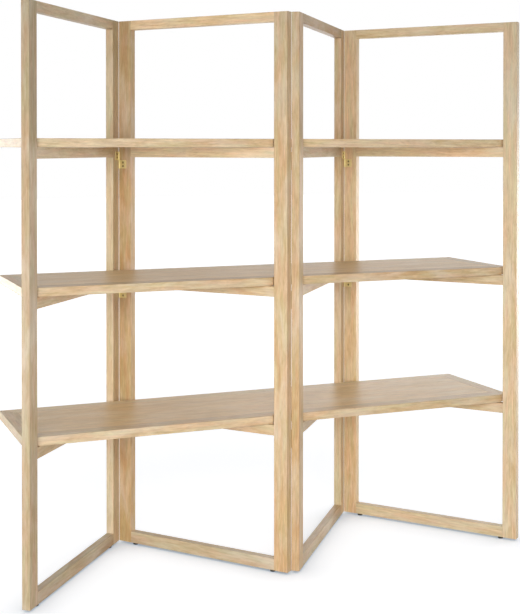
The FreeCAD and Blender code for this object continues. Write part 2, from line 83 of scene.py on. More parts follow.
# Each board's colour: how honeyed, where 0 is pale and 1 is amber, and how light, where 1 is the
# plain colour. Fitted board by board, it is partly the board's own stain and partly painted light
# and
# shade: a board that stands in shade is made darker, and one lit orange by the wood beside it is
# made more honeyed.
PLAIN_BOARD = (0.40, 0.95)
STAIN_AND_PAINTED_SHADE = {
    "leaf_1_front_stile": (0.11, 0.76),
    "leaf_1_rear_stile": (0.00, 0.92),
    "leaf_2_front_stile": (0.46, 0.96),
    "leaf_2_rear_stile": (0.96, 0.84),
    "leaf_3_front_stile": (0.63, 0.89),
    "leaf_3_rear_stile": (0.12, 0.99),
    "leaf_4_front_stile": (0.04, 1.03),
    "leaf_4_rear_stile": (0.27, 1.08),
    "leaf_1_bottom_rail": (0.47, 0.70),
    "leaf_2_bottom_rail": (0.00, 0.78),
    "leaf_3_bottom_rail": (0.18, 0.80),
    "leaf_4_bottom_rail": (0.11, 0.97),
    "leaf_1_high_rail": (0.00, 0.92),
    "leaf_2_high_rail": (0.00, 1.12),
    "leaf_3_high_rail": (0.27, 0.75),
    "leaf_4_high_rail": (0.00, 1.13),
    "leaf_1_top_rail": (0.12, 0.94),
    "leaf_2_top_rail": (0.00, 1.26),
    "leaf_3_top_rail": (1.00, 0.70),
    "leaf_4_top_rail": (0.07, 1.12),
    "high_shelf_front_border": (0.19, 1.01),
    "mid_shelf_front_border": (0.71, 0.91),
    "low_shelf_front_border": (0.30, 0.94),
    "high_shelf_rear_border": (0.10, 1.12),
    "mid_shelf_rear_border": (0.10, 1.12),
    "low_shelf_rear_border": (0.10, 1.12),
}

# Hinge halves: the leaf, the joint whose pin they turn on, the way the flag runs along the leaf,
# the way from the pin to the wood, and which half of the hinge it is.
HINGE_HALVES = (
    ("leaf_1", "left_fold", -1, 1, "upper"),
    ("leaf_2", "left_fold", 1, 1, "lower"),
    ("leaf_2", "front_fold", -1, -1, "lower"),
    ("leaf_3", "front_fold", 1, -1, "upper"),
    ("leaf_3", "right_fold", -1, 1, "upper"),
    ("leaf_4", "right_fold", 1, 1, "lower"),
)
# The CAD nodes that keep their own shape: the end of their names, their finish and their slot.
DRESSED = (
    ("_hinge_pins", "Pin steel", "pin_steel"),
    ("_hinge_screws", "Screw bronze", "dark_screw"),
)

# The soft lamps: where each stands, the height it aims at above the middle of the floor, its power
# in watts, the angle of its beam in degrees, and the width and height of its screen in metres.
LAMPS = (
    ("Front lamp", (-2.0, -4.3, 1.5), 0.5, 37, 70, (3.6, 2.2)),
    ("Left lamp", (-4.5, -0.5, 0.8), 0.8, 5.6, 70, (2.4, 1.4)),
    ("Right lamp", (4.5, 0.5, 0.8), 0.8, 15.6, 70, (2.4, 1.4)),
    ("Rear left lamp", (-2.5, 3.8, 0.9), 0.8, 11, 70, (2.4, 1.4)),
    ("Rear right lamp", (2.5, 3.8, 0.9), 0.8, 3.3, 70, (2.4, 1.4)),
)
# Where the lift of the floor starts and stops to fade into plain white, from the middle, in metres.
FLOOR_FADE = (1.2, 4.0)

# Places closer together than this are one, in metres: those made here and those read from the CAD.
MADE_ALIKE = 1e-6
READ_ALIKE = 1e-5
# Cosine past which an edge counts as running along a board.
PARALLEL = 0.99
# The corners of a notch lie further behind the front of the shelf than this, those of its rounded
# edge don't.
NOTCH_LEAST = 0.002

# Segments of a rounded wooden edge, of a flag's corner, of a flag's edge, of a knuckle, of a glide.
EDGE_STEPS, CORNER_STEPS, FLAG_EDGE_STEPS, KNUCKLE_STEPS, GLIDE_STEPS = 3, 5, 2, 28, 32
# Rounding of a flag's edges in metres, and the angle between faces past which an edge gets it.
FLAG_EDGE, FLAG_CREASE = 0.0003, math.radians(40)
# Faces of a flag under this area in square metres are part of its knuckle or rounding.
FLAG_SMALL_FACE = 0.00003
# Angle between the faces of a glide past which its edge stays sharp.
GLIDE_CREASE = math.radians(35)
# Darkening on an arris is 1. Glue lines get more, as dark joints, and the edges where two leaves
# meet get more still, as painted shade for the crevice between the leaves.
GLUE_LINE_DIRT, MEETING_EDGE_SHADE = 4.0, 4.5

# What the number of a board shifts its pattern by, so that no two boards look alike.
BOARD_SHIFT = (2.3, 7.1, 5.9)
# What lengths along the grain are multiplied by in long, middling and short figures.
LONG, MIDDLING, SHORT = 0.045, 0.13, 0.28
# The wood's figures: width of the growth lines in metres, strength of the flame, wander of the hue.
BOARD_FIGURE = (0.006, 0.05, 0.40)
BORDER_FIGURE = (0.005, 0.10, 0.35)
PANEL_FIGURE = (0.004, 0.02, 0.10)
# The scale of the wave texture at which its growth lines are a metre wide.
RING_SCALE = 0.314
# How far the stain drifts along a board and how far it differs from spot to spot.
STAIN_DRIFT, STAIN_MOTTLE = 0.45, 0.35
# How much of the growth colour shows in growth lines, in pores and in the darkening on arrises,
# which is painted shade where two leaves meet.
LINE_DEPTH, PORE_DEPTH, EDGE_DARKENING_DEPTH = 0.22, 0.38, 0.16
# Lightness of dark and light streaks, and how much lightness the mottle takes and gives.
STREAK_DARK, STREAK_LIGHT, MOTTLE_TONE = 0.89, 1.10, 0.10
# What the colour is multiplied by at both ends of its wander.
PINKISH, GREENISH = (1.05, 0.93, 0.93), (0.955, 1.045, 1.01)
# The most lime that stays in the hollows of the grain.
LIME = 0.35
# Nearly all values of a noise texture lie between these two.
NOISE_LOW, NOISE_HIGH = 0.3, 0.7


# ---------------------------------------------------------------- what a user can change


class BookcaseWood(bpy.types.PropertyGroup):
    """Sizes and colours of the boards."""

    leaf_angle: bpy.props.FloatProperty(
        name="Leaf Angle", description="Angle of every leaf to the shelves",
        default=math.radians(51.2), subtype="ANGLE", unit="ROTATION")
    arris: bpy.props.FloatProperty(
        name="Board Arris", description="Rounding of the long edges of stiles and rails",
        default=0.001, min=0.0002, subtype="DISTANCE", unit="LENGTH")
    shelf_arris: bpy.props.FloatProperty(
        name="Shelf Arris", description="Rounding of the outer edges of a shelf",
        default=0.0012, min=0.0002, subtype="DISTANCE", unit="LENGTH")
    joint_ease: bpy.props.FloatProperty(
        name="Joint Ease", description="Bevel along glued joints, which leaves a fine line",
        default=0.0004, min=0.0001, subtype="DISTANCE", unit="LENGTH")
    shelf_joint_ease: bpy.props.FloatProperty(
        name="Shelf Joint Ease", description="Bevel between the panel of a shelf and its borders",
        default=0.0012, min=0.0001, subtype="DISTANCE", unit="LENGTH")
    pale: bpy.props.FloatVectorProperty(
        name="Pale Wood", description="Colour of the limed wood between the growth lines",
        default=(0.700, 0.553, 0.350), subtype="COLOR", min=0, max=1)
    honey: bpy.props.FloatVectorProperty(
        name="Honey Wood", description="Colour of the stained wood",
        default=(0.640, 0.422, 0.198), subtype="COLOR", min=0, max=1)
    growth: bpy.props.FloatVectorProperty(
        name="Growth Line", description="Colour of the growth lines and pores",
        default=(0.350, 0.205, 0.095), subtype="COLOR", min=0, max=1)
    panel_pale: bpy.props.FloatVectorProperty(
        name="Pale Veneer", description="Colour of the light stripes of the shelf panels",
        default=(0.860, 0.650, 0.375), subtype="COLOR", min=0, max=1)
    panel_honey: bpy.props.FloatVectorProperty(
        name="Honey Veneer", description="Colour of the darker stripes of the shelf panels",
        default=(0.760, 0.550, 0.295), subtype="COLOR", min=0, max=1)
    roughness: bpy.props.FloatProperty(
        name="Lacquer Roughness", description="Roughness of the matt lacquer",
        default=0.42, min=0, max=1, subtype="FACTOR")
    lustre: bpy.props.FloatProperty(
        name="Lacquer Lustre",
        description="How much the lacquer reflects; 0.5 is plain clear lacquer",
        default=0.35, min=0, max=1, subtype="FACTOR")
    shelf_lustre: bpy.props.FloatProperty(
        name="Shelf Lustre", description="How much the lacquer on the shelves reflects",
        default=0.60, min=0, max=1, subtype="FACTOR")


class BookcaseMetal(bpy.types.PropertyGroup):
    """Sizes and colours of the hinges, screws and glides."""

    hinge_drop: bpy.props.FloatProperty(
        name="Hinge Drop", description="Top of a hinge below the top of its shelf rail",
        default=0.016, subtype="DISTANCE", unit="LENGTH")
    hinge_height: bpy.props.FloatProperty(
        name="Hinge Height", description="Height of a whole hinge",
        default=0.064, min=0.01, subtype="DISTANCE", unit="LENGTH")
    knuckle_gap: bpy.props.FloatProperty(
        name="Knuckle Gap", description="Gap between the upper and the lower half of a hinge",
        default=0.0003, min=0, subtype="DISTANCE", unit="LENGTH")
    knuckle_radius: bpy.props.FloatProperty(
        name="Knuckle Radius", description="Outer radius of the rolled knuckle",
        default=0.0025, min=0.001, subtype="DISTANCE", unit="LENGTH")
    flag_width: bpy.props.FloatProperty(
        name="Flag Width", description="Width of a hinge flag from the middle of its pin",
        default=0.03088, min=0.005, subtype="DISTANCE", unit="LENGTH")
    flag_thickness: bpy.props.FloatProperty(
        name="Flag Thickness", description="Thickness of a hinge flag",
        default=0.0018, min=0.0005, subtype="DISTANCE", unit="LENGTH")
    flag_back: bpy.props.FloatProperty(
        name="Flag Back", description="Distance of the wood from the middle of the pin",
        default=0.0027, min=0.0005, subtype="DISTANCE", unit="LENGTH")
    flag_corner: bpy.props.FloatProperty(
        name="Flag Corner", description="Radius of the outer corners of a flag",
        default=0.003, min=0.0002, subtype="DISTANCE", unit="LENGTH")
    brass: bpy.props.FloatVectorProperty(
        name="Brass", description="Colour of the hinges",
        default=(0.84, 0.74, 0.40), subtype="COLOR", min=0, max=1)
    steel: bpy.props.FloatVectorProperty(
        name="Steel", description="Colour of the hinge pins",
        default=(0.56, 0.56, 0.57), subtype="COLOR", min=0, max=1)
    bronze: bpy.props.FloatVectorProperty(
        name="Dark Bronze", description="Colour of the screws",
        default=(0.035, 0.024, 0.014), subtype="COLOR", min=0, max=1)
    plastic: bpy.props.FloatVectorProperty(
        name="Black Plastic", description="Colour of the glides",
        default=(0.020, 0.018, 0.017), subtype="COLOR", min=0, max=1)
    glide_height: bpy.props.FloatProperty(
        name="Glide Height", description="Height of a glide under its rail",
        default=0.008, min=0.001, subtype="DISTANCE", unit="LENGTH")
    glide_radius: bpy.props.FloatProperty(
        name="Glide Radius", description="Radius of a glide",
        default=0.010, min=0.002, subtype="DISTANCE", unit="LENGTH")


class BookcaseStage(bpy.types.PropertyGroup):
    """Studio floor, light and camera."""

    side_light: bpy.props.FloatProperty(
        name="Side Light", description="Strength of the even light from the walls of the studio",
        default=0.28, min=0)
    top_light: bpy.props.FloatProperty(
        name="Top Light", description="Strength of the even light from straight above",
        default=0.21, min=0)
    lamp_strength: bpy.props.FloatProperty(
        name="Lamp Strength", description="What the power of every lamp is multiplied by",
        default=1.0, min=0)
    floor: bpy.props.FloatProperty(
        name="Floor", description="Grey of the floor, which throws light back up",
        default=0.80, min=0, max=1)
    floor_shade: bpy.props.FloatProperty(
        name="Floor Shade",
        description="Grey of the floor as seen, which sets how dark its shadows look",
        default=0.55, min=0, max=1)
    floor_glow: bpy.props.FloatVectorProperty(
        name="Floor Glow", description="What lifts the floor to white round the bookcase",
        default=(0.73, 0.745, 0.77), subtype="COLOR", min=0, max=1)
    # A painted contact shadow on the floor: what is left of the floor's glow right under an edge of
    # the bookcase, and how far that painted shade reaches.
    painted_shadow_glow: bpy.props.FloatVectorProperty(
        name="Painted Shadow Glow",
        description="What is left of that lift right under an edge of the bookcase",
        default=(0.05, 0.12, 0.19), subtype="COLOR", min=0, max=1)
    contact_reach: bpy.props.FloatProperty(
        name="Contact Reach", description="How far the soft contact shadow reaches over the floor",
        default=0.15, min=0.01, subtype="DISTANCE", unit="LENGTH")
    floor_size: bpy.props.FloatProperty(
        name="Floor Size", description="Side of the square floor",
        default=60, min=4, subtype="DISTANCE", unit="LENGTH")
    focal_length: bpy.props.FloatProperty(
        name="Focal Length", description="Focal length of the camera in millimetres",
        default=69.732, min=1)
    shift: bpy.props.FloatVectorProperty(
        name="Lens Shift", description="Sideways and upward shift of the camera's lens",
        default=(0.0044, -0.2409), size=2)
    camera_place: bpy.props.FloatVectorProperty(
        name="Camera Place", description="Where the camera stands",
        default=(-1.6872, -4.1063, 1.5030), subtype="TRANSLATION", unit="LENGTH")
    camera_turn: bpy.props.FloatVectorProperty(
        name="Camera Turn", description="Rotation of the camera",
        default=(math.radians(89.4346), 0, math.radians(-22.1104)), subtype="EULER",
        unit="ROTATION")


# ---------------------------------------------------------------- nodes


def add(tree, kind, inputs=None, **settings):
    """Add a node; an input is a value or another node's output, by name or number."""
    node = tree.nodes.new("ShaderNode" + kind)
    for name, value in settings.items():
        setattr(node, name, value)
    for name, value in (inputs or {}).items():
        if isinstance(value, bpy.types.NodeSocket):
            tree.links.new(value, node.inputs[name])
        else:
            node.inputs[name].default_value = value
    return node


def noise(tree, vector, scale, detail=2.0, roughness=0.5, distortion=0.0):
    """A noise texture; its scale is in spots to a metre."""
    found = add(tree, "TexNoise", {"Vector": vector, "Scale": scale, "Detail": detail,
                                   "Roughness": roughness, "Distortion": distortion})
    return found.outputs["Fac"]


def spread(tree, value, low, high, to_low=0.0, to_high=1.0):
    """Stretch a part of a value's range over a new one."""
    found = add(tree, "MapRange", {"Value": value, "From Min": low, "From Max": high,
                                   "To Min": to_low, "To Max": to_high})
    return found.outputs["Result"]


def swing(tree, value, to_low=0.0, to_high=1.0):
    """Stretch what a noise usually gives over a new range."""
    return spread(tree, value, NOISE_LOW, NOISE_HIGH, to_low, to_high)


def sums(tree, operation, first, second):
    """Work out one value from two."""
    return add(tree, "Math", {0: first, 1: second}, operation=operation).outputs[0]


def blend(tree, factor, first, second):
    """Mix two colours; a colour is an output or three numbers."""
    first, second = [(*value, 1) if not isinstance(value, bpy.types.NodeSocket) else value
                     for value in (first, second)]
    return add(tree, "Mix", {0: factor, 6: first, 7: second}, data_type="RGBA").outputs[2]


def new_material(name):
    """A material with a plain shader joined to its output; returned with its tree and shader."""
    material = bpy.data.materials.new(name)
    material.use_nodes = True
    tree = material.node_tree
    tree.nodes.clear()
    shader = add(tree, "BsdfPrincipled")
    output = add(tree, "OutputMaterial")
    tree.links.new(shader.outputs["BSDF"], output.inputs["Surface"])
    return material, tree, shader


def grained_wood(name, turn, pale, honey, figure, lustre):
    """Limed hardwood with its grain along an axis that turn brings to X."""
    wood = bpy.context.scene.bookcase_wood
    growth, (line_width, flame_strength, wander) = tuple(wood.growth), figure
    material, tree, shader = new_material(name)
    place = add(tree, "TexCoord").outputs["Object"]
    board, stain_and_painted_tint, light, arris = [add(tree, "Attribute", attribute_name=label).outputs["Fac"]
                                  for label in ("board", "stain_and_painted_tint", "light", "arris")]
    along = add(tree, "Mapping", {"Vector": place, "Rotation": turn}).outputs[0]
    shift = add(tree, "VectorMath", {0: BOARD_SHIFT, "Scale": board}, operation="SCALE").outputs[0]
    plank = add(tree, "VectorMath", {0: along, 1: shift}, operation="ADD").outputs[0]
    long_grain, middling_grain, short_grain = [
        add(tree, "Mapping", {"Vector": plank, "Scale": (stretch, 1, 1)}).outputs[0]
        for stretch in (LONG, MIDDLING, SHORT)]

    rings = add(tree, "TexWave", {
        "Vector": long_grain, "Scale": RING_SCALE / line_width, "Distortion": 7.0, "Detail": 3.0,
        "Detail Scale": 0.35, "Detail Roughness": 0.6}, bands_direction="DIAGONAL").outputs["Fac"]
    drift = noise(tree, long_grain, scale=11)
    streak = noise(tree, long_grain, scale=260, detail=4, roughness=0.65)
    pores = noise(tree, long_grain, scale=900)
    flame = noise(tree, short_grain, scale=62, detail=3, roughness=0.6, distortion=1.4)
    mottle = noise(tree, middling_grain, scale=105, detail=3, roughness=0.6, distortion=0.5)
    wash = noise(tree, short_grain, scale=17, detail=3, roughness=0.55, distortion=0.6)
    hue = noise(tree, middling_grain, scale=48, distortion=0.4)

    # The board's colour, partly its own stain and partly painted light and shade, which drifts and
    # is mottled, with the growth lines over it.
    patch = sums(tree, "ADD", stain_and_painted_tint, swing(tree, drift, -STAIN_DRIFT, STAIN_DRIFT))
    patch = sums(tree, "ADD", patch, swing(tree, mottle, -STAIN_MOTTLE, STAIN_MOTTLE))
    colour = blend(tree, patch, pale, honey)
    line = sums(tree, "MULTIPLY", spread(tree, rings, 0.55, 1.0), swing(tree, streak))
    colour = blend(tree, sums(tree, "MULTIPLY", line, LINE_DEPTH), colour, growth)

    # Light and dark from the streaks, the flame, the mottle and the board's lightness, which is
    # partly painted shade and light.
    tone = sums(tree, "ADD", spread(tree, streak, 0.25, 0.75, STREAK_DARK, STREAK_LIGHT),
                swing(tree, flame, -flame_strength, flame_strength))
    tone = sums(tree, "ADD", tone, swing(tree, mottle, MOTTLE_TONE, -MOTTLE_TONE))
    tone = sums(tree, "MULTIPLY", tone, light)
    wandering = spread(tree, hue, 0.34, 0.66, 0.5 - wander, 0.5 + wander)
    tint = blend(tree, wandering, PINKISH, GREENISH)
    colour = add(tree, "VectorMath", {0: colour, 1: tint}, operation="MULTIPLY").outputs[0]
    colour = add(tree, "VectorMath", {0: colour, "Scale": tone}, operation="SCALE").outputs[0]

    # Lime in the hollows, dark pores, and darkening on arrises and joints, which is painted shade
    # on the edges where two leaves meet.
    limed = [0.5 + 0.5 * part for part in pale]
    colour = blend(tree, spread(tree, wash, 0.45, 0.75, 0.0, LIME), colour, limed)
    pit = spread(tree, pores, 0.60, 0.68)
    colour = blend(tree, sums(tree, "MULTIPLY", pit, PORE_DEPTH), colour, growth)
    colour = blend(tree, sums(tree, "MULTIPLY", arris, EDGE_DARKENING_DEPTH), colour, growth)
    tree.links.new(colour, shader.inputs["Base Color"])

    # The lacquer is duller in the pores, and streaks and pores can be felt through it.
    shader.inputs["Specular IOR Level"].default_value = lustre
    rough = swing(tree, streak, wood.roughness - 0.05, wood.roughness + 0.07)
    rough = sums(tree, "ADD", rough, sums(tree, "MULTIPLY", pit, 0.15))
    tree.links.new(rough, shader.inputs["Roughness"])
    height = sums(tree, "SUBTRACT", swing(tree, streak, 0.0, 0.5), pit)
    bump = add(tree, "Bump", {"Height": height, "Strength": 0.25, "Distance": 0.0003})
    tree.links.new(bump.outputs["Normal"], shader.inputs["Normal"])
    return material


def fitting_metal(name, colour, roughness, wear_colour):
    """Metal with a fine brushed surface, smudges and worn patches."""
    material, tree, shader = new_material(name)
    place = add(tree, "TexCoord").outputs["Object"]
    brushed = add(tree, "Mapping", {"Vector": place, "Scale": (1, 1, 0.08)}).outputs[0]
    scratch = noise(tree, brushed, scale=2600, detail=3, roughness=0.6)
    smudge = noise(tree, place, scale=130, detail=3, roughness=0.6, distortion=0.8)
    worn = spread(tree, smudge, 0.50, 0.72, 0.0, 0.45)
    tree.links.new(blend(tree, worn, colour, wear_colour), shader.inputs["Base Color"])
    shader.inputs["Metallic"].default_value = 1.0
    rough = sums(tree, "ADD", swing(tree, scratch, roughness - 0.05, roughness + 0.06),
                 swing(tree, smudge, 0.0, 0.12))
    tree.links.new(rough, shader.inputs["Roughness"])
    bump = add(tree, "Bump", {"Height": scratch, "Strength": 0.12, "Distance": 0.00005})
    tree.links.new(bump.outputs["Normal"], shader.inputs["Normal"])
    return material


def moulded_plastic(name, colour):
    """Plastic with a fine spark texture and patches of dust."""
    material, tree, shader = new_material(name)
    place = add(tree, "TexCoord").outputs["Object"]
    spark = noise(tree, place, scale=1500)
    dust = noise(tree, place, scale=90, detail=4, roughness=0.65)
    dusty = blend(tree, spread(tree, dust, 0.45, 0.8, 0.0, 0.5), colour, (0.09, 0.085, 0.08))
    tree.links.new(dusty, shader.inputs["Base Color"])
    tree.links.new(swing(tree, dust, 0.38, 0.58), shader.inputs["Roughness"])
    bump = add(tree, "Bump", {"Height": spark, "Strength": 0.2, "Distance": 0.00008})
    tree.links.new(bump.outputs["Normal"], shader.inputs["Normal"])
    return material


def finish_of(name):
    """The finished material of that name, made on first use."""
    if name in bpy.data.materials:
        return bpy.data.materials[name]
    wood = bpy.context.scene.bookcase_wood
    metal = bpy.context.scene.bookcase_metal
    board_colours = tuple(wood.pale), tuple(wood.honey)
    panel_colours = tuple(wood.panel_pale), tuple(wood.panel_honey)
    boards = (*board_colours, BOARD_FIGURE, wood.lustre)
    borders = (*board_colours, BORDER_FIGURE, wood.shelf_lustre)
    panels = (*panel_colours, PANEL_FIGURE, wood.shelf_lustre)
    quarter, angle = math.radians(90), wood.leaf_angle
    # What turns the grain to X; then the two colours, the figure and the lustre.
    woods = {
        "Upright wood": ((0, quarter, 0), *boards),
        "Rail wood, to the rear": ((0, 0, -angle), *boards),
        "Rail wood, to the front": ((0, 0, angle), *boards),
        "Border wood, lengthwise": ((0, 0, 0), *borders),
        "Border wood, crosswise": ((0, 0, quarter), *borders),
        "Panel veneer": ((0, 0, 0), *panels),
    }
    # The colour, the roughness and the colour where it is worn.
    metals = {
        "Hinge brass": (tuple(metal.brass), 0.50, (0.62, 0.53, 0.28)),
        "Pin steel": (tuple(metal.steel), 0.26, (0.40, 0.39, 0.38)),
        "Screw bronze": (tuple(metal.bronze), 0.38, (0.16, 0.11, 0.06)),
    }
    if name in woods:
        return grained_wood(name, *woods[name])
    if name in metals:
        return fitting_metal(name, *metals[name])
    if name == "Glide plastic":
        return moulded_plastic(name, tuple(metal.plastic))
    raise RuntimeError(f"there is no finish named {name}")


# ---------------------------------------------------------------- meshes


def extent(node, turn):
    """Lowest and highest corner of a CAD node in a frame turned about the upright axis."""
    level = Matrix.Rotation(-turn, 3, "Z")
    corners = [level @ vertex.co for vertex in NODES[node].data.vertices]
    return [Vector([pick(corner[axis] for corner in corners) for axis in range(3)])
            for pick in (min, max)]


def block(bm, low, high):
    """A box between two corners."""
    stretched = Matrix.Translation((low + high) / 2) @ Matrix.Diagonal((*(high - low), 1))
    bmesh.ops.create_cube(bm, size=1, matrix=stretched)


def ease(bm, edges, radius, segments, mark=None, darkening=1.0):
    """Round edges, shade the new faces smooth and mark them with so much darkening."""
    made = bmesh.ops.bevel(bm, geom=edges, offset=radius, offset_type="OFFSET", segments=segments,
                           profile=0.5, affect="EDGES", material=-1, clamp_overlap=True)
    for face in made["faces"]:
        face.smooth = True
        if mark is not None:
            face[mark] = darkening


def number_of(name):
    """A number from 0 to 1 of a board's own, the same on every run."""
    golden = 0.6180339887
    total = sum((place + 1) * ord(letter) for place, letter in enumerate(name))
    return (total * golden) % 1.0


def finished(bm, name, body, nodes, material):
    """Make the object of a piece, let it ride on its body and stand for its CAD nodes."""
    mesh = bpy.data.meshes.new(name)
    bm.to_mesh(mesh)
    bm.free()
    piece = bpy.data.objects.new(name, mesh)
    bpy.context.scene.collection.objects.link(piece)
    mesh.materials.append(finish_of(material))
    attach(piece, body)
    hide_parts(*nodes)
    return piece


def wooden(bm, name, node, body, material):
    """Finish a board: give it its own number, stain and lightness, which its material reads; stain
    and lightness are partly painted light and shade.
    """
    piece = finished(bm, name, body, [node], material)
    stain_and_painted_tint, light = STAIN_AND_PAINTED_SHADE.get(node, PLAIN_BOARD)
    for label, value in (("board", number_of(node)), ("stain_and_painted_tint", stain_and_painted_tint), ("light", light)):
        layer = piece.data.attributes.new(label, "FLOAT", "POINT")
        layer.data.foreach_set("value", [value] * len(piece.data.vertices))


def board(node, leaf, along, material, trim=(0.0, 0.0), meeting=None):
    """A stile or rail of a leaf, from its CAD node's own corners.

    along is the number of the leaf's axis that its grain follows, and trim is what is left off both
    of its sides along the leaf. meeting is 0 or 1 for the side that meets another leaf, whose long
    edges get painted shade.
    """
    wood = bpy.context.scene.bookcase_wood
    turn = LEAVES[leaf] * wood.leaf_angle
    low, high = extent(node, turn)
    low.x, high.x = low.x + trim[0], high.x - trim[1]
    bm = bmesh.new()
    mark = bm.faces.layers.float.new("arris")
    block(bm, low, high)
    axis = Vector([1.0 if index == along else 0.0 for index in range(3)])

    def meets_leaf(edge):
        side = (low, high)[meeting].x
        return all(abs(vertex.co.x - side) < MADE_ALIKE for vertex in edge.verts)

    runs = [edge for edge in bm.edges
            if abs((edge.verts[1].co - edge.verts[0].co).normalized().dot(axis)) > PARALLEL]
    # The long edges where this stile meets the next leaf get painted shade, darker than other
    # arrises, for the crevice between the two leaves.
    shaded_meeting_edges = [] if meeting is None else [edge for edge in runs if meets_leaf(edge)]
    ease(bm, [edge for edge in runs if edge not in shaded_meeting_edges], wood.arris, EDGE_STEPS, mark)
    if shaded_meeting_edges:
        ease(bm, shaded_meeting_edges, wood.arris, EDGE_STEPS, mark, MEETING_EDGE_SHADE)
    ends = [edge for edge in bm.edges
            if abs((edge.verts[1].co - edge.verts[0].co).dot(axis)) < MADE_ALIKE]
    ease(bm, ends, wood.joint_ease, 1, mark)
    bmesh.ops.rotate(bm, verts=bm.verts, cent=(0, 0, 0), matrix=Matrix.Rotation(turn, 3, "Z"))
    wooden(bm, node + "_wood", node, leaf, material)


def slab(node, ending, shelf, plan, heights, outer, material):
    """A part of a shelf from its plan; outer lists the shelf's rounded sides as axis and place."""
    wood = bpy.context.scene.bookcase_wood
    bm = bmesh.new()
    mark = bm.faces.layers.float.new("arris")
    face = bm.faces.new([bm.verts.new((x, y, heights[0])) for x, y in plan])
    raised = bmesh.ops.extrude_face_region(bm, geom=[face])["geom"]
    bmesh.ops.translate(bm, vec=(0, 0, heights[1] - heights[0]),
                        verts=[item for item in raised if isinstance(item, bmesh.types.BMVert)])
    bmesh.ops.recalc_face_normals(bm, faces=bm.faces)

    def lies_on(edge, side):
        axis, place = side
        return all(abs(vertex.co[axis] - place) < READ_ALIKE for vertex in edge.verts)

    def level(edge):
        return any(lies_on(edge, (2, height)) for height in heights)

    rounded = [edge for edge in bm.edges
               if level(edge) and any(lies_on(edge, side) for side in outer)]
    if rounded:
        ease(bm, rounded, wood.shelf_arris, EDGE_STEPS, mark)
    glued = [edge for edge in bm.edges
             if level(edge) and not any(face[mark] for face in edge.link_faces)]
    ease(bm, glued, wood.shelf_joint_ease, 1, mark, GLUE_LINE_DIRT)
    wooden(bm, node + ending, node, shelf, material)


def master_mesh(bm, name):
    """Turn a shape that is used several times into a mesh, with its faces outwards."""
    bmesh.ops.recalc_face_normals(bm, faces=bm.faces)
    mesh = bpy.data.meshes.new(name)
    bm.to_mesh(mesh)
    bm.free()
    return mesh


def stamp(bm, master, place):
    """Add a copy of a master mesh at a place."""
    known = len(bm.verts)
    bm.from_mesh(master)
    bm.verts.ensure_lookup_table()
    bmesh.ops.transform(bm, matrix=place, verts=bm.verts[known:])


def glide_master(profile):
    """A glide turned from its profile of radius and height, closed on its axis."""
    bm = bmesh.new()
    chain = [bm.verts.new((radius, 0, height)) for radius, height in profile]
    edges = [bm.edges.new(pair) for pair in zip(chain, chain[1:])]
    bmesh.ops.spin(bm, geom=chain + edges, cent=(0, 0, 0), axis=(0, 0, 1), angle=2 * math.pi,
                   steps=GLIDE_STEPS, use_merge=True)
    bmesh.ops.remove_doubles(bm, verts=bm.verts, dist=MADE_ALIKE)
    for face in bm.faces:
        face.smooth = True
    for edge in bm.edges:
        edge.smooth = len(edge.link_faces) < 2 or edge.calc_face_angle() < GLIDE_CREASE
    return master_mesh(bm, "glide")


def flag_master(metal, height):
    """A hinge half about its pin: the flag towards +X, its back at +Y, its middle at z = 0."""
    radius, back = metal.knuckle_radius, metal.flag_back
    front = back - metal.flag_thickness
    bm = bmesh.new()
    first = bm.verts.new((0, radius, -height / 2))
    bmesh.ops.spin(bm, geom=[first], cent=(0, 0, 0), axis=(0, 0, 1),
                   angle=1.5 * math.pi + math.asin(front / radius), steps=KNUCKLE_STEPS)
    outline = list(bm.verts)
    outline += [bm.verts.new((x, y, -height / 2)) for x, y in (
        (metal.flag_width, front), (metal.flag_width, back), (back - front, back))]
    bm.faces.new(outline)
    raised = bmesh.ops.extrude_face_region(bm, geom=bm.faces[:])["geom"]
    bmesh.ops.translate(bm, vec=(0, 0, height),
                        verts=[item for item in raised if isinstance(item, bmesh.types.BMVert)])
    bmesh.ops.recalc_face_normals(bm, faces=bm.faces)
    corners = [edge for edge in bm.edges
               if all(vertex.co.x > metal.flag_width - MADE_ALIKE for vertex in edge.verts)
               and abs(edge.verts[0].co.z - edge.verts[1].co.z) < MADE_ALIKE]
    ease(bm, corners, metal.flag_corner, CORNER_STEPS)
    crisp = [edge for edge in bm.edges
             if len(edge.link_faces) == 2 and edge.calc_face_angle() > FLAG_CREASE]
    ease(bm, crisp, FLAG_EDGE, FLAG_EDGE_STEPS)
    for face in bm.faces:
        face.smooth = face.smooth or face.calc_area() < FLAG_SMALL_FACE
    return master_mesh(bm, "flag")


def seen_ray(tree):
    """1 for what is seen straight, in a reflection or through glass, and 0 for scattered light."""
    path = add(tree, "LightPath").outputs
    seen = sums(tree, "MAXIMUM", path["Is Camera Ray"], path["Is Glossy Ray"])
    return sums(tree, "MAXIMUM", seen, path["Is Transmission Ray"])


# ---------------------------------------------------------------- operators


class BOOKCASE_OT_stiles(bpy.types.Operator):
    """Build the eight stiles"""

    bl_idname = "bookcase.stiles"
    bl_label = "Stiles"

    def execute(self, context):
        for leaf, way in LEAVES.items():
            for end in ("front", "rear"):
                node = f"{leaf}_{end}_stile"
                # The rear stile is at the far side of a leaf that runs to the rear.
                meeting = None if node in FREE_STILES else int((end == "rear") == (way > 0))
                board(node, leaf, 2, "Upright wood", meeting=meeting)
        return {"FINISHED"}


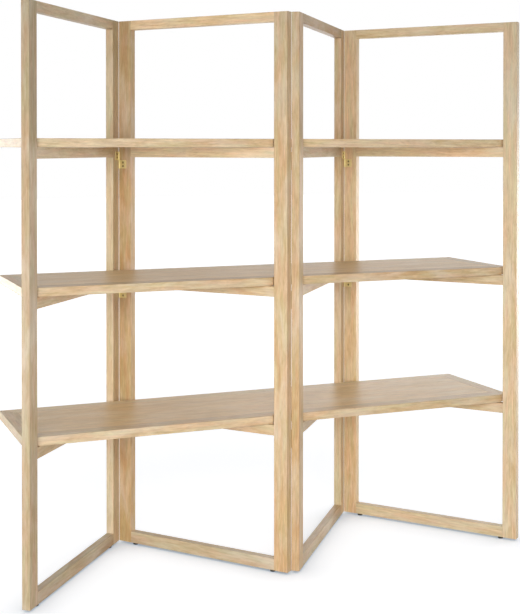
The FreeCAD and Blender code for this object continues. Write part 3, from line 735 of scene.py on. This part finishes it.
class BOOKCASE_OT_rails(bpy.types.Operator):
    """Build the twenty rails, which butt between their stiles"""

    bl_idname = "bookcase.rails"
    bl_label = "Rails"

    def execute(self, context):
        angle = context.scene.bookcase_wood.leaf_angle
        for leaf, way in LEAVES.items():
            stiles = [extent(f"{leaf}_{end}_stile", way * angle) for end in ("front", "rear")]
            stiles.sort(key=lambda corners: corners[0].x)
            material = "Rail wood, to the rear" if way > 0 else "Rail wood, to the front"
            for rail in RAILS:
                low, high = extent(f"{leaf}_{rail}", way * angle)
                trim = (stiles[0][1].x - low.x, high.x - stiles[1][0].x)
                board(f"{leaf}_{rail}", leaf, 0, material, trim)
        return {"FINISHED"}


class BOOKCASE_OT_shelves(bpy.types.Operator):
    """Build the three shelves: veneered panels in mitred borders that clear the front stiles"""

    bl_idname = "bookcase.shelves"
    bl_label = "Shelves"

    def execute(self, context):
        for shelf in SHELVES:
            low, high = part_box(f"{shelf}_rear_border")
            left, right, rear = low.x, high.x, high.y
            width = high.y - low.y
            notched = f"{shelf}_front_border"
            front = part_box(notched)[0].y
            # The notches, from the corners of the solid: their sides and their back.
            points = [vertex.co for vertex in NODES[notched].data.vertices]
            sides = sorted({abs(round(point.x, 5)) for point in points
                            if point.y < front + MADE_ALIKE})
            near, far = sides[0], sides[-1]
            back = min(point.y for point in points if abs(point.x) < near + READ_ALIKE
                       and point.y > front + NOTCH_LEAST)
            depth = back - front
            corners = {
                "west": (left + width, front + width),
                "east": (right - width, front + width),
                "north_west": (left + width, rear - width),
                "north_east": (right - width, rear - width),
            }
            plans = {
                "front_border": [
                    (-far, front), (-near, front), (-near, back), (near, back), (near, front),
                    (far, front), (far, back), (right - depth, back), corners["east"],
                    corners["west"], (left + depth, back), (-far, back)],
                "right_border": [
                    (right, back), (right, rear), corners["north_east"], corners["east"],
                    (right - depth, back)],
                "rear_border": [
                    (right, rear), (left, rear), corners["north_west"], corners["north_east"]],
                "left_border": [
                    (left, rear), (left, back), (left + depth, back), corners["west"],
                    corners["north_west"]],
            }
            outer = ((0, left), (0, right), (1, front), (1, rear))
            for border, plan in plans.items():
                way = "lengthwise" if border in ("front_border", "rear_border") else "crosswise"
                slab(f"{shelf}_{border}", "_strip", shelf, plan, (low.z, high.z), outer,
                     "Border wood, " + way)
            field = [corners[name] for name in ("west", "east", "north_east", "north_west")]
            slab(f"{shelf}_panel", "_veneer", shelf, field, (low.z, high.z), (), "Panel veneer")
        return {"FINISHED"}


class BOOKCASE_OT_hinge_flags(bpy.types.Operator):
    """Build the brass halves of the nine hinges, each a flag with a rolled knuckle"""

    bl_idname = "bookcase.hinge_flags"
    bl_label = "Hinge Flags"

    def execute(self, context):
        metal, angle = context.scene.bookcase_metal, context.scene.bookcase_wood.leaf_angle
        pins = {joint["name"]: Vector(joint["pos_m"]) for joint in frame["joints"]}
        half_height = (metal.hinge_height - metal.knuckle_gap) / 2
        master = flag_master(metal, half_height)
        for leaf, turn in LEAVES.items():
            bm = bmesh.new()
            halves = [half[1:] for half in HINGE_HALVES if half[0] == leaf]
            for joint, along, into, which in halves:
                sideways = Matrix.Rotation(turn * angle, 3, "Z") @ Vector((along, 0, 0))
                inwards = Matrix.Rotation(turn * angle, 3, "Z") @ Vector((0, into, 0))
                drop = half_height / 2
                if which == "lower":
                    drop = metal.hinge_height - drop
                place = Matrix.Identity(4)
                for column, vector in enumerate((sideways, inwards, sideways.cross(inwards))):
                    place.col[column].xyz = vector
                for level in LEVELS:
                    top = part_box(f"{leaf}_{level}_rail")[1].z - metal.hinge_drop
                    place.translation = pins[joint].x, pins[joint].y, top - drop
                    stamp(bm, master, place)
            node = f"{leaf}_{which}_flags"
            finished(bm, node + "_brass", leaf, [node], "Hinge brass")
        bpy.data.meshes.remove(master)
        return {"FINISHED"}


class BOOKCASE_OT_pins_and_screws(bpy.types.Operator):
    """Give the hinge pins and screws their metals"""

    bl_idname = "bookcase.pins_and_screws"
    bl_label = "Pins and Screws"

    def execute(self, context):
        for node, item in NODES.items():
            for ending, material, slot in DRESSED:
                if node.endswith(ending):
                    item.data.materials.clear()
                    item.data.materials.append(finish_of(material))
        return {"FINISHED"}


class BOOKCASE_OT_glides(bpy.types.Operator):
    """Build the round glides that the leaves stand on"""

    bl_idname = "bookcase.glides"
    bl_label = "Glides"

    def execute(self, context):
        metal, angle = context.scene.bookcase_metal, context.scene.bookcase_wood.leaf_angle
        radius, height = metal.glide_radius, metal.glide_height
        # From the middle of the foot, over a shallow ring and the bevel, up the side to the top.
        ring = 0.0006
        master = glide_master([
            (0, 0), (radius * 0.55, 0), (radius * 0.60, ring), (radius * 0.80, ring),
            (radius * 0.86, 0), (radius * 0.92, 0), (radius, height * 0.16),
            (radius, height * 0.80), (radius * 0.97, height * 0.92), (radius * 0.90, height),
            (0, height)])
        for leaf, turn in LEAVES.items():
            node = f"{leaf}_glides"
            low, high = extent(node, turn * angle)
            across = (low.y + high.y) / 2
            bm = bmesh.new()
            for along in (low.x + radius, high.x - radius):
                spot = Matrix.Rotation(turn * angle, 3, "Z") @ Vector((along, across, low.z))
                stamp(bm, master, Matrix.Translation(spot))
            finished(bm, node + "_foot", leaf, [node], "Glide plastic")
        bpy.data.meshes.remove(master)
        return {"FINISHED"}


class BOOKCASE_OT_stage(bpy.types.Operator):
    """Set up the white studio floor with its painted contact shadow, the soft light and the camera
    """

    bl_idname = "bookcase.stage"
    bl_label = "Stage"

    def execute(self, context):
        stage, scene = context.scene.bookcase_stage, context.scene
        bm = bmesh.new()
        bmesh.ops.create_grid(bm, x_segments=1, y_segments=1, size=stage.floor_size / 2)
        mesh = bpy.data.meshes.new("studio_floor")
        bm.to_mesh(mesh)
        bm.free()
        floor = bpy.data.objects.new("studio_floor", mesh)
        scene.collection.objects.link(floor)
        material, tree, shader = new_material("Studio floor")
        seen = seen_ray(tree)
        grey = blend(tree, seen, [stage.floor] * 3, [stage.floor_shade] * 3)
        tree.links.new(grey, shader.inputs["Base Color"])
        shader.inputs["Roughness"].default_value = 0.9
        shader.inputs["Specular IOR Level"].default_value = 0.0
        place = add(tree, "TexCoord").outputs["Object"]
        distance = add(tree, "VectorMath", {0: place}, operation="LENGTH").outputs["Value"]
        far = spread(tree, distance, *FLOOR_FADE)
        # Painted contact shadow: ambient occlusion near the bookcase lowers the floor's glow
        # towards a darker bluish colour.
        shadow_openness = add(tree, "AmbientOcclusion", {"Distance": stage.contact_reach},
                       samples=8).outputs["AO"]
        glow = blend(tree, far, tuple(stage.floor_glow), (1, 1, 1))
        glow = blend(tree, shadow_openness, tuple(stage.painted_shadow_glow), glow)
        tree.links.new(glow, shader.inputs["Emission Color"])
        tree.links.new(seen, shader.inputs["Emission Strength"])
        mesh.materials.append(material)

        world = bpy.data.worlds.new("Studio")
        world.use_nodes = True
        tree = world.node_tree
        tree.nodes.clear()
        sky = add(tree, "TexCoord").outputs["Generated"]
        height = add(tree, "SeparateXYZ", {0: sky}).outputs["Z"]
        even = spread(tree, height, 0, 1, stage.side_light, stage.top_light)
        strength = add(tree, "Mix", {0: seen_ray(tree), 2: even, 3: 1.0}).outputs[0]
        background = add(tree, "Background", {"Color": (1, 1, 1, 1), "Strength": strength})
        output = add(tree, "OutputWorld")
        tree.links.new(background.outputs[0], output.inputs["Surface"])
        scene.world = world
        scene.view_settings.view_transform = "Standard"

        for name, place, target, power, beam, screen in LAMPS:
            lamp = bpy.data.lights.new(name, "AREA")
            lamp.shape, (lamp.size, lamp.size_y) = "RECTANGLE", screen
            lamp.energy, lamp.spread = power * stage.lamp_strength, math.radians(beam)
            lamp_object = bpy.data.objects.new(name, lamp)
            lamp_object.location = place
            aim = Vector((0, 0, target)) - lamp_object.location
            lamp_object.rotation_euler = aim.to_track_quat("-Z", "Y").to_euler()
            scene.collection.objects.link(lamp_object)

        camera = bpy.data.cameras.new("Camera")
        camera.lens = stage.focal_length
        camera.shift_x, camera.shift_y = stage.shift
        camera_object = bpy.data.objects.new("Camera", camera)
        camera_object.location = stage.camera_place
        camera_object.rotation_euler = stage.camera_turn
        scene.collection.objects.link(camera_object)
        scene.camera = camera_object
        return {"FINISHED"}


STEPS = (BOOKCASE_OT_stiles, BOOKCASE_OT_rails, BOOKCASE_OT_shelves, BOOKCASE_OT_hinge_flags,
         BOOKCASE_OT_pins_and_screws, BOOKCASE_OT_glides, BOOKCASE_OT_stage)


class BOOKCASE_PT_sidebar(bpy.types.Panel):
    """The bookcase's settings and building steps"""

    bl_idname = "BOOKCASE_PT_sidebar"
    bl_label = "Folding Bookcase"
    bl_space_type = "VIEW_3D"
    bl_region_type = "UI"
    bl_category = "Bookcase"

    def draw(self, context):
        for group in (context.scene.bookcase_wood, context.scene.bookcase_metal,
                      context.scene.bookcase_stage):
            column = self.layout.box().column()
            for name in group.bl_rna.properties.keys():
                if name not in ("rna_type", "name"):
                    column.prop(group, name)
        for step in STEPS:
            self.layout.operator(step.bl_idname)


GROUPS = {
    "bookcase_wood": BookcaseWood,
    "bookcase_metal": BookcaseMetal,
    "bookcase_stage": BookcaseStage,
}


def register():
    for kind in (*GROUPS.values(), *STEPS, BOOKCASE_PT_sidebar):
        bpy.utils.register_class(kind)
    for name, group in GROUPS.items():
        setattr(bpy.types.Scene, name, bpy.props.PointerProperty(type=group))


def unregister():
    for name in GROUPS:
        delattr(bpy.types.Scene, name)
    for kind in (BOOKCASE_PT_sidebar, *reversed(STEPS), *reversed(GROUPS.values())):
        bpy.utils.unregister_class(kind)


def main():
    register()
    for step in STEPS:
        family, name = step.bl_idname.split(".")
        getattr(getattr(bpy.ops, family), name)()


if __name__ == "__main__":
    main()
